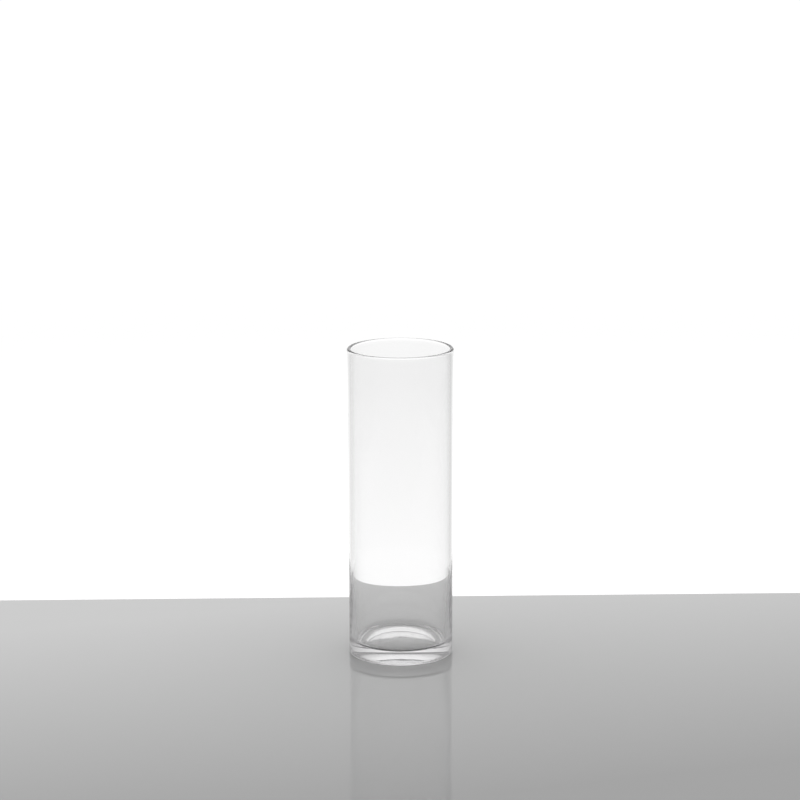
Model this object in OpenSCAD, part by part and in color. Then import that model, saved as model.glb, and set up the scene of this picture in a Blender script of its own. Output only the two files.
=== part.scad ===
// Glass cylinder vase: one piece of clear blown-and-moulded soda-lime glass with a heavy, solid foot.
// Z is up. The origin is the centre of the foot, on the plane that the vase stands on.
// The whole piece is one section turned about Z. Millimetres.

/* [Body] */
// Height, from the table to the crest of the rim
height = 300; // [220:5:400]
// Outside diameter of the straight part of the wall
outer_d = 100; // [80:1:150]
// Wall thickness over the straight middle
wall_t = 2.9; // [2.5:0.1:4]

/* [Rim] */
// Thickness of the fire-polished rim bead, which is a full round
rim_t = 3.7; // [3:0.1:4.5]
// How far the outside leans out by the time it reaches the rim, on the radius
flare = 0.8; // [0:0.1:1.5]
// Height of the part that flares and thickens towards the rim
flare_h = 60; // [30:5:90]

/* [Foot] */
// Height of the inside floor at its middle; the glass there is this less the hollow under the foot
floor_t = 13.5; // [10:0.5:18]
// Radius where the inside floor turns up into the wall
fillet_r = 5; // [3:0.5:12]
// Extra wall thickness at the foot, which tapers away up the inside
foot_extra = 4.6; // [2:0.1:6]
// Height at which that taper, which starts at the table, has run out and the bore is straight
taper_to = 95; // [60:5:120]
// Radius of the inside floor, which is pushed up in the middle into a gentle dome
dome_r = 500; // [300:50:2000]
// Radius of the outside bottom corner
corner_r = 2; // [1.5:0.1:4]
// Inside radius of the flat ring that the vase stands on, which is the edge of the hollow under it
ring_in = 34; // [28:1:35]
// Rise of that hollow at its centre
punt = 4; // [1:0.5:6]

/* [Hidden] */
$fn = 96;

outer_r = outer_d / 2;
bead_r = rim_t / 2;
bead_z = height - bead_r;         // centre height of the rim's round
flare_z = height - flare_h;       // where the flare starts
wall_steps = 14;                  // straight steps that draw each slow curve

// 0 at a, 1 at b, level at both ends
function ease(a, b, z) = let (s = max(0, min(1, (z - a) / (b - a)))) s * s * (3 - 2 * s);
// 0 below the flare, 1 at the rim, growing as the square of the height
function lean(z) = let (s = max(0, (z - flare_z) / flare_h)) s * s;
function outside(z) = outer_r + flare * lean(z);
function thickness(z) = wall_t + foot_extra * (1 - ease(0, taper_to, z)) + (rim_t - wall_t) * lean(z);
function inside(z) = outside(z) - thickness(z);
function dome(r) = floor_t - r * r / (2 * dome_r);

// The fillet is tangent to the wall at height fillet_z, and to the dome where the dome falls at dome_fall degrees.
wall_foot = inside(dome(outer_r) + fillet_r);
fillet_x = wall_foot - fillet_r;
dome_fall = atan(fillet_x / dome_r);
dome_end = fillet_x - fillet_r * sin(dome_fall);
fillet_z = dome(dome_end) + fillet_r * cos(dome_fall);

function arc(x, z, r, from, to, steps) =
    [for (i = [0 : steps]) let (a = from + (to - from) * i / steps) [x + r * cos(a), z + r * sin(a)]];
function between(a, b, steps) = [for (i = [1 : steps - 1]) a + (b - a) * i / steps];

underside = [for (i = [0 : 8]) let (u = i / 8) [ring_in * u, punt * (1 - u * u)]];
corner = arc(outer_r - corner_r, corner_r, corner_r, -90, 0, 6);
flare_out = [for (z = concat([flare_z], between(flare_z, bead_z, 8))) [outside(z), z]];
rim = arc(outside(height) - bead_r, bead_z, bead_r, 0, 180, 12);
flare_in = [for (z = concat(between(bead_z, flare_z, 8), [flare_z])) [inside(z), z]];
taper = [for (z = concat([taper_to], between(taper_to, fillet_z, wall_steps))) [inside(z), z]];
fillet = arc(fillet_x, fillet_z, fillet_r, 0, -90 - dome_fall, 10);
inside_floor = [for (i = [1 : 8]) let (r = dome_end * (1 - i / 8)) [r, dome(r)]];

module vase() {
    color([0.86, 0.90, 0.90, 0.4])
        rotate_extrude()
            polygon(concat(underside, corner, flare_out, rim, flare_in, taper, fillet, inside_floor));
}

vase();
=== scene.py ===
"""Glass cylinder vase: the visual model, its table top and its soft studio light.

The vase is one piece of clear soda-lime glass. Its section is the CAD model's section, worked out here from
the same few dimensions, and it is turned about Z into one closed, finely divided surface.
"""
import math

import bpy
import numpy as np
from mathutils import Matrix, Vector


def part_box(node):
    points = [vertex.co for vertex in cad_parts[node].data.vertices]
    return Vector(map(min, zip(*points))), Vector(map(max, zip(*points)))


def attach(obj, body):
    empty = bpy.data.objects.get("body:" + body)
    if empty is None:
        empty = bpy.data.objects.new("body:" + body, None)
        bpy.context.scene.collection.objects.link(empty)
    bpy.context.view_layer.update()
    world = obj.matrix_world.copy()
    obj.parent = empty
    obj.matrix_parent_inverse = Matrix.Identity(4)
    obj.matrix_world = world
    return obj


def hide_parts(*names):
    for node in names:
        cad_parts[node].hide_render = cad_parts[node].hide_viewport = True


MM = 0.001  # one millimetre in metres

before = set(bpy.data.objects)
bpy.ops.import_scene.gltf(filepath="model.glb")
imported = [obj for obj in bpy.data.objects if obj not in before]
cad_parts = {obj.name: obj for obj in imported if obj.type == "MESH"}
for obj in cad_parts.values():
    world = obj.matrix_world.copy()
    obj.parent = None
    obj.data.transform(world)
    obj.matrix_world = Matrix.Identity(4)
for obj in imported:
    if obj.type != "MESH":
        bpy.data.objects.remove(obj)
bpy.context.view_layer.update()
scene = bpy.context.scene

# ---------------------------------------------------------------- dimensions of the vase, in millimetres
HIGH = np.array(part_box("vase")[1]) / MM  # the vase's highest corner
HEIGHT = HIGH[2]  # table to crest of the rim
FLARE = 0.8  # lean of the outside at the rim, on the radius
OUTER_R = HIGH[0] - FLARE  # outside radius of the straight wall
WALL = 2.9  # wall over the straight middle
RIM = 3.7  # thickness of the rim's full round
FLARE_H = 60.0  # height of the part that flares
FLOOR = 13.5  # height of the inside floor at its middle
FILLET_R = 5.0  # inside floor to wall
FOOT_EXTRA = 4.6  # extra wall thickness at the foot
TAPER_TO = 95.0  # height at which that extra has run out
DOME_R = 500.0  # radius of the inside floor, which is pushed up in the middle
CORNER_R = 2.0  # outside bottom corner
RING_IN = 34.0  # inside radius of the flat ring that the vase stands on
PUNT = 4.0  # rise of the hollow under the foot at its centre

# ---------------------------------------------------------------- how finely the surface is divided
TURNS = 288  # round the axis
UNDER_ROWS = 30
CORNER_ROWS = 12
OUTER_WALL_ROWS = 40
RIM_ROWS = 25
INNER_WALL_ROWS = 150
FILLET_ROWS = 24
FLOOR_ROWS = 26
CROWDING = 1.6  # the inner wall's rows are spaced by this power, so they are closer together low down
ON_LINE = 0.001  # a row this near to a curve of the section lies on it

# ---------------------------------------------------------------- unevenness, in millimetres
# The inside was shaped by air, not by the mould, so it is a little uneven: slow swells nearly up to the rim,
# and a fine ripple low down. Each is (waves round, waves up, depth, phase in turns, height where it has died
# out).
UNEVEN = [
    (2, 1.0, 0.020, 0.15, 285.0),
    (3, 2.0, 0.010, 0.60, 285.0),
    (5, 38.0, 0.006, 0.35, 40.0),
    (9, 57.0, 0.004, 0.80, 40.0),
]
UNEVEN_FROM = 19.0  # height at which they start, above the fillet
UNEVEN_FULL = 28.5  # height at which they have reached their depth
UNEVEN_HOLD = 0.75  # share of its top height at which each starts to die out

# The inside floor has low hummocks, as hot glass leaves when it sets: (length along X, length along Y, depth,
# phase in turns).
HUMMOCKS = [(31.0, 43.0, 0.050, 0.20), (17.0, 23.0, 0.025, 0.65)]
HUMMOCKS_FULL = 5.0  # radius at which they have reached their depth, from none at the middle
HUMMOCKS_TO = 37.0  # radius at which they have died out
HUMMOCKS_HOLD = 0.6  # share of that radius at which they start to die out


def ease(a, b, z):
    """0 at a, 1 at b, level at both ends: 3s^2 - 2s^3."""
    s = np.clip((z - a) / (b - a), 0.0, 1.0)
    return s * s * (3.0 - 2.0 * s)


def lean(z):
    """0 below the flare and 1 at the rim, growing as the square of the height."""
    s = np.clip((z - HEIGHT + FLARE_H) / FLARE_H, 0.0, None)
    return s * s


def outside(z):
    """Outside radius at height z."""
    return OUTER_R + FLARE * lean(z)


def inside(z):
    """Inside radius at height z: the outside less the wall, which is thicker at the foot and at the rim."""
    thickness = WALL + FOOT_EXTRA * (1.0 - ease(0.0, TAPER_TO, z)) + (RIM - WALL) * lean(z)
    return outside(z) - thickness


def dome(r):
    """Height of the inside floor at radius r: a parabola that matches a dome of radius DOME_R."""
    return FLOOR - r * r / (2.0 * DOME_R)


def arc(x, z, r, start, end, steps):
    """Points on a round of radius r about (x, z), between two angles in degrees."""
    a = np.radians(np.linspace(start, end, steps))
    return np.stack([x + r * np.cos(a), z + r * np.sin(a)], 1)


def section():
    """The closed section as (radius, height) rows: from the underside's centre out, up, over the rim and in.

    Underside: a parabola of rise PUNT. Corner, rim and fillet: arcs that meet their neighbours at a tangent.
    Walls: outside(z) and inside(z). Inside floor: dome(r)."""
    bead = RIM / 2.0
    bead_z = HEIGHT - bead
    fillet_x = inside(dome(OUTER_R) + FILLET_R) - FILLET_R
    fall = math.atan(fillet_x / DOME_R)
    dome_end = fillet_x - FILLET_R * math.sin(fall)
    fillet_z = dome(dome_end) + FILLET_R * math.cos(fall)

    u = np.linspace(0.0, 1.0, UNDER_ROWS)
    under = np.stack([RING_IN * u, PUNT * (1.0 - u * u)], 1)
    corner = arc(OUTER_R - CORNER_R, CORNER_R, CORNER_R, -90.0, 0.0, CORNER_ROWS)
    up = np.linspace(CORNER_R, bead_z, OUTER_WALL_ROWS)[1:-1]
    outer_wall = np.stack([outside(up), up], 1)
    rim = arc(outside(HEIGHT) - bead, bead_z, bead, 0.0, 180.0, RIM_ROWS)
    down = fillet_z + (bead_z - fillet_z) * np.linspace(1.0, 0.0, INNER_WALL_ROWS)[1:-1] ** CROWDING
    inner_wall = np.stack([inside(down), down], 1)
    fillet = arc(fillet_x, fillet_z, FILLET_R, 0.0, -90.0 - math.degrees(fall), FILLET_ROWS)
    r = np.linspace(dome_end, 0.0, FLOOR_ROWS)[1:]
    floor = np.stack([r, dome(r)], 1)
    return np.concatenate([under, corner, outer_wall, rim, inner_wall, fillet, floor])


def uneven(r, z, a):
    """How far the inside wall stands off its true radius at (r, z) and angle a: the sum of
    depth cos(around a + 2 pi (up z / HEIGHT + phase)), growing from UNEVEN_FROM up and dying out at each
    one's top."""
    waves = 0.0
    for around, up, depth, phase, top in UNEVEN:
        wave = depth * np.cos(around * a + 2.0 * math.pi * (up * z / HEIGHT + phase))
        waves = waves + wave * (1.0 - ease(UNEVEN_HOLD * top, top, z))
    inner = (np.abs(r - inside(z)) < ON_LINE) & (z > UNEVEN_FROM)
    return waves * inner * ease(UNEVEN_FROM, UNEVEN_FULL, z)


def hummocks(r, z, a):
    """How far the inside floor stands off its true height at radius r and angle a: the sum of
    depth sin(2 pi (x / length + phase)) cos(2 pi (y / width + phase)), which fades to nothing at the middle
    and before the fillet."""
    rise = 0.0
    for length, width, depth, phase in HUMMOCKS:
        along = np.sin(2.0 * math.pi * (r * np.cos(a) / length + phase))
        rise = rise + depth * along * np.cos(2.0 * math.pi * (r * np.sin(a) / width + phase))
    fade = ease(0.0, HUMMOCKS_FULL, r) * (1.0 - ease(HUMMOCKS_HOLD * HUMMOCKS_TO, HUMMOCKS_TO, r))
    return rise * fade * (np.abs(z - dome(r)) < ON_LINE)


def turned(name, rows):
    """A closed surface turned about Z: x = r cos a, y = r sin a, for every row of the section and every angle
    a, where r is the row's radius plus uneven(row, a), and z is its height plus hummocks(row, a). The first
    and last rows lie on the axis, so each is one shared pole vertex."""
    ring = rows[1:-1]
    a = np.linspace(0.0, 2.0 * math.pi, TURNS, endpoint=False)
    radius = ring[:, :1] + uneven(ring[:, :1], ring[:, 1:], a)
    xyz = np.empty((len(ring), TURNS, 3))
    xyz[..., 0] = radius * np.cos(a)
    xyz[..., 1] = radius * np.sin(a)
    xyz[..., 2] = ring[:, 1:] + hummocks(ring[:, :1], ring[:, 1:], a)
    poles = [[0.0, 0.0, rows[0, 1]], [0.0, 0.0, rows[-1, 1]]]
    points = np.concatenate([xyz.reshape(-1, 3), poles]) * MM

    start = (np.arange(len(ring) - 1) * TURNS)[:, None]
    here = np.arange(TURNS)
    after = np.roll(here, -1)
    above = start + TURNS
    quads = np.stack([start + here, start + after, above + after, above + here], -1).reshape(-1, 4)
    first_pole = len(ring) * TURNS
    last_ring = (len(ring) - 1) * TURNS
    first_fan = np.stack([np.full(TURNS, first_pole), after, here], -1)
    last_fan = np.stack([last_ring + here, last_ring + after, np.full(TURNS, first_pole + 1)], -1)

    mesh = bpy.data.meshes.new(name)
    mesh.from_pydata(points, [], quads.tolist() + first_fan.tolist() + last_fan.tolist())
    mesh.polygons.foreach_set("use_smooth", np.ones(len(mesh.polygons), dtype=bool))
    mesh.update()
    piece = bpy.data.objects.new(name, mesh)
    scene.collection.objects.link(piece)
    return piece


# ---------------------------------------------------------------- materials
def linear(hex_colour):
    """An sRGB hex colour such as "#c8c8c8" as a linear RGBA tuple."""
    channels = [int(hex_colour[i : i + 2], 16) / 255.0 for i in (1, 3, 5)]
    return tuple(c / 12.92 if c <= 0.04045 else ((c + 0.055) / 1.055) ** 2.4 for c in channels) + (1.0,)


def add(tree, kind, links=None, settings=None, **values):
    """Adds one node: values are its attributes, settings its sockets' values, links its sockets' sources."""
    node = tree.nodes.new(kind)
    for key, value in values.items():
        setattr(node, key, value)
    for key, value in (settings or {}).items():
        node.inputs[key].default_value = value
    for key, source in (links or {}).items():
        tree.links.new(source, node.inputs[key])
    return node


MIX_FACTOR, MIX_A, MIX_B, MIX_RESULT = 0, 6, 7, 2  # places of a colour Mix node's sockets

GLASS_IOR = 1.52
GLASS_TINT = "#c9c6c9"  # colour of thick glass: all but neutral, as decolourised glass is
GLASS_DENSITY = 3.6  # the absorption per metre is this times one less the tint
WAVE_SIZE = 40.0 * MM  # the slow waves that the mould and the fire polish leave
WAVE_DEPTH = 0.006 * MM
SCUFF_SIZE = 1.2 * MM  # the wear on the ring that the vase stands on, drawn coarse enough to show
SCUFF_DETAIL = 5.0
SCUFF_ROUGHNESS = 0.35
SCUFF_BARE, SCUFF_DEEP = 0.45, 0.65  # the noise's levels with no scuff and with the roughest
SCUFF_FROM, SCUFF_TO = 0.2 * MM, 0.8 * MM  # heights over which that wear fades out


def clear_glass():
    """Soda-lime glass, fire-polished: clear, near colourless and mirror-smooth, with the faint slow waves of
    a moulded surface, a little absorption where it is thick, and scuffs on the ring that it stands on."""
    material = bpy.data.materials.new("clear_soda_lime_glass")
    material.use_nodes = True
    tree = material.node_tree
    shader = tree.nodes["Principled BSDF"]
    shader.inputs["Base Color"].default_value = (1.0, 1.0, 1.0, 1.0)
    shader.inputs["IOR"].default_value = GLASS_IOR
    shader.inputs["Transmission Weight"].default_value = 1.0
    place = add(tree, "ShaderNodeTexCoord").outputs["Object"]

    waves = add(tree, "ShaderNodeTexNoise", {"Vector": place}, {"Scale": 1.0 / WAVE_SIZE, "Detail": 0.0})
    swell = {"Strength": 1.0, "Distance": WAVE_DEPTH}
    bump = add(tree, "ShaderNodeBump", {"Height": waves.outputs[0]}, swell)
    tree.links.new(bump.outputs["Normal"], shader.inputs["Normal"])

    axes = add(tree, "ShaderNodeSeparateXYZ", {0: place})
    fade = {"From Min": SCUFF_FROM, "From Max": SCUFF_TO, "To Min": 1.0, "To Max": 0.0}
    worn = add(tree, "ShaderNodeMapRange", {"Value": axes.outputs["Z"]}, fade)
    grain = {"Scale": 1.0 / SCUFF_SIZE, "Detail": SCUFF_DETAIL}
    marks = add(tree, "ShaderNodeTexNoise", {"Vector": place}, grain)
    depth = {"From Min": SCUFF_BARE, "From Max": SCUFF_DEEP, "To Min": 0.0, "To Max": SCUFF_ROUGHNESS}
    marks = add(tree, "ShaderNodeMapRange", {"Value": marks.outputs[0]}, depth)
    scuffs = add(tree, "ShaderNodeMath", {0: worn.outputs[0], 1: marks.outputs[0]}, operation="MULTIPLY")
    tree.links.new(scuffs.outputs[0], shader.inputs["Roughness"])

    tint = {"Color": linear(GLASS_TINT), "Density": GLASS_DENSITY}
    body = add(tree, "ShaderNodeVolumeAbsorption", settings=tint)
    tree.links.new(body.outputs["Volume"], tree.nodes["Material Output"].inputs["Volume"])
    return material


PAINTED_LIGHT_TOWARDS = (-0.3, 0.95, 0.0)  # the way the painted light on the board grows: paler to the back and a little to the left, where the light comes from
PAINTED_LIGHT_NEAR, PAINTED_LIGHT_FAR = -0.40, 0.18  # metres along that way
# Painted light and shade: the board's grey is painted darker in front and paler at the back, for the light
# that falls on it from behind.
TABLE_PAINTED_SHADE_GREY, TABLE_PAINTED_LIGHT_GREY = "#969696", "#cecece"
TABLE_ROUGHNESS = 0.03
TABLE_IOR = 1.5


def table_with_painted_light():
    """A lacquered grey board, polished to a near mirror, with painted light: its grey is painted pale at the
    back and a little darker in front, as the light from behind falls off.
    """
    material = bpy.data.materials.new("grey_lacquer_with_painted_light")
    material.use_nodes = True
    tree = material.node_tree
    place = add(tree, "ShaderNodeTexCoord")
    sources = {0: place.outputs["Object"]}
    along = add(tree, "ShaderNodeVectorMath", sources, {1: PAINTED_LIGHT_TOWARDS}, operation="DOT_PRODUCT")
    limits = {"From Min": PAINTED_LIGHT_NEAR, "From Max": PAINTED_LIGHT_FAR}
    painted_light_grade = add(tree, "ShaderNodeMapRange", {"Value": along.outputs["Value"]}, limits)
    painted_light_greys = {MIX_A: linear(TABLE_PAINTED_SHADE_GREY), MIX_B: linear(TABLE_PAINTED_LIGHT_GREY)}
    # painted light: the grey runs from painted shade in front to painted light at the back
    colour = add(tree, "ShaderNodeMix", {MIX_FACTOR: painted_light_grade.outputs[0]}, painted_light_greys, data_type="RGBA")
    shader = tree.nodes["Principled BSDF"]
    tree.links.new(colour.outputs[MIX_RESULT], shader.inputs["Base Color"])
    shader.inputs["Roughness"].default_value = TABLE_ROUGHNESS
    shader.inputs["IOR"].default_value = TABLE_IOR
    return material


# ---------------------------------------------------------------- the vase
vase = turned("vase_glass", section())
vase.data.materials.append(clear_glass())
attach(vase, "root")
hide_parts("vase")

# ---------------------------------------------------------------- the table top
# In metres
TABLE_BACK = 0.186  # the far edge, behind the vase's axis
TABLE_FRONT = 0.62  # the near edge, in front of it
TABLE_SIDE = 0.9  # each side edge, to the left and right of it
TABLE_THICK = 0.03
TABLE_GAP = 0.00002  # the top is this much under the vase, so that their faces don't coincide
TABLE_YAW = math.radians(1.5)


def table_top():
    """A flat slab whose top is TABLE_GAP under z = 0 and whose underside is TABLE_THICK lower. Its front and
    back edges slope by TABLE_YAW from left to right."""
    x = np.array([-1.0, 1.0, 1.0, -1.0]) * TABLE_SIDE
    y = np.array([-TABLE_FRONT, -TABLE_FRONT, TABLE_BACK, TABLE_BACK]) + x * math.tan(TABLE_YAW)
    top = np.stack([x, y, np.full(4, -TABLE_GAP)], 1)
    points = np.concatenate([top, top - [0.0, 0.0, TABLE_THICK]])
    sides = [(i, i + 4, (i + 1) % 4 + 4, (i + 1) % 4) for i in range(4)]
    mesh = bpy.data.meshes.new("table_top")
    mesh.from_pydata(points, [], [(0, 1, 2, 3), (7, 6, 5, 4)] + sides)
    mesh.update()
    slab = bpy.data.objects.new("table_top", mesh)
    scene.collection.objects.link(slab)
    return slab


table = table_top()
# the board's colour carries painted light, paler towards the back
table.data.materials.append(table_with_painted_light())

# ---------------------------------------------------------------- soft studio light
# Brightness at each elevation in degrees. The backdrop is brightest low down, where the table's far edge
# meets it; the room is dim low down and has a broad soft light overhead.
BACKDROP_STOPS = [
    (-90, 1.15), (-16, 1.12), (-13.3, 1.05), (-11, 1.0), (0, 1.05), (30, 1.05), (45, 0.8), (90, 1.1)
]
ROOM_STOPS = [(-90, 0.2), (-5, 0.22), (0, 0.3), (30, 0.45), (50, 0.8), (90, 1.1)]
# The backdrop's share of the light at each bearing, in degrees to the right of straight behind the table.
BEARING_STOPS = [
    (-180, 0.0), (-110, 0.0), (-77, 0.3), (-56, 0.48), (-40, 0.62), (-20, 0.8), (-10, 1.0),
    (10, 1.0), (20, 0.72), (40, 0.52), (56, 0.35), (77, 0.18), (110, 0.0), (180, 0.0),
]
PEAK = 1.2  # the brightness stops are put in their ramps as fractions of this


def set_stops(elements, stops):
    """Gives a colour ramp's elements their (position, level) stops, straight between them."""
    while len(elements) < len(stops):
        elements.new(0.5)
    for element, (position, level) in zip(elements, stops):
        element.position = position
        element.color = (level, level, level, 1.0)


def over_sine(stops):
    """Stops by elevation as stops by the sine of the elevation, from 0 straight down to 1 straight up."""
    return [(0.5 + 0.5 * math.sin(math.radians(angle)), level / PEAK) for angle, level in stops]


def studio_light():
    """A bright backdrop behind the table that fades out round the sides, and a dim room in front. height and
    turn are the sine of the elevation and the bearing, each brought to 0 to 1."""
    world = bpy.data.worlds.new("studio")
    world.use_nodes = True
    tree = world.node_tree
    place = add(tree, "ShaderNodeTexCoord")
    axes = add(tree, "ShaderNodeSeparateXYZ", {0: place.outputs["Generated"]})
    half = {1: 0.5, 2: 0.5}
    height = add(tree, "ShaderNodeMath", {0: axes.outputs["Z"]}, half, operation="MULTIPLY_ADD")
    bearing = {0: axes.outputs["X"], 1: axes.outputs["Y"]}
    turn = add(tree, "ShaderNodeMath", bearing, operation="ARCTAN2")
    whole_turn = {1: 0.5 / math.pi, 2: 0.5}
    turn = add(tree, "ShaderNodeMath", {0: turn.outputs[0]}, whole_turn, operation="MULTIPLY_ADD")

    behind = add(tree, "ShaderNodeValToRGB", {"Fac": turn.outputs[0]})
    set_stops(behind.color_ramp.elements, [(0.5 + angle / 360.0, share) for angle, share in BEARING_STOPS])
    room = add(tree, "ShaderNodeValToRGB", {"Fac": height.outputs[0]})
    set_stops(room.color_ramp.elements, over_sine(ROOM_STOPS))
    backdrop = add(tree, "ShaderNodeValToRGB", {"Fac": height.outputs[0]})
    set_stops(backdrop.color_ramp.elements, over_sine(BACKDROP_STOPS))

    parts = {MIX_FACTOR: behind.outputs[0], MIX_A: room.outputs[0], MIX_B: backdrop.outputs[0]}
    light = add(tree, "ShaderNodeMix", parts, data_type="RGBA")
    sky = tree.nodes["Background"]
    tree.links.new(light.outputs[MIX_RESULT], sky.inputs["Color"])
    sky.inputs["Strength"].default_value = PEAK
    scene.world = world


studio_light()

# ---------------------------------------------------------------- camera
CAMERA_BACK = 2.56  # level distance in metres in front of the vase's axis
CAMERA_SIDE = 0.0008  # to the right of it
CAMERA_UP = 0.805  # above the table
CAMERA_DOWN = math.radians(12.25)  # how far below level it looks
CAMERA_ROLL = math.radians(0.12)
FOCAL_LENGTH, SENSOR_WIDTH = 123.75, 36.0  # millimetres
FARTHEST = 50.0  # metres
BOUNCES = 128  # light goes round inside the rim and the foot many times before it leaves them

lens = bpy.data.cameras.new("camera")
lens.lens = FOCAL_LENGTH
lens.sensor_width = SENSOR_WIDTH
lens.clip_end = FARTHEST
camera = bpy.data.objects.new("camera", lens)
camera.location = (CAMERA_SIDE, -CAMERA_BACK, CAMERA_UP)
camera.rotation_euler = (math.pi / 2 - CAMERA_DOWN, CAMERA_ROLL, 0.0)
scene.collection.objects.link(camera)
scene.camera = camera

scene.view_settings.view_transform = "Standard"
scene.cycles.max_bounces = BOUNCES
scene.cycles.transmission_bounces = BOUNCES
scene.cycles.glossy_bounces = BOUNCES
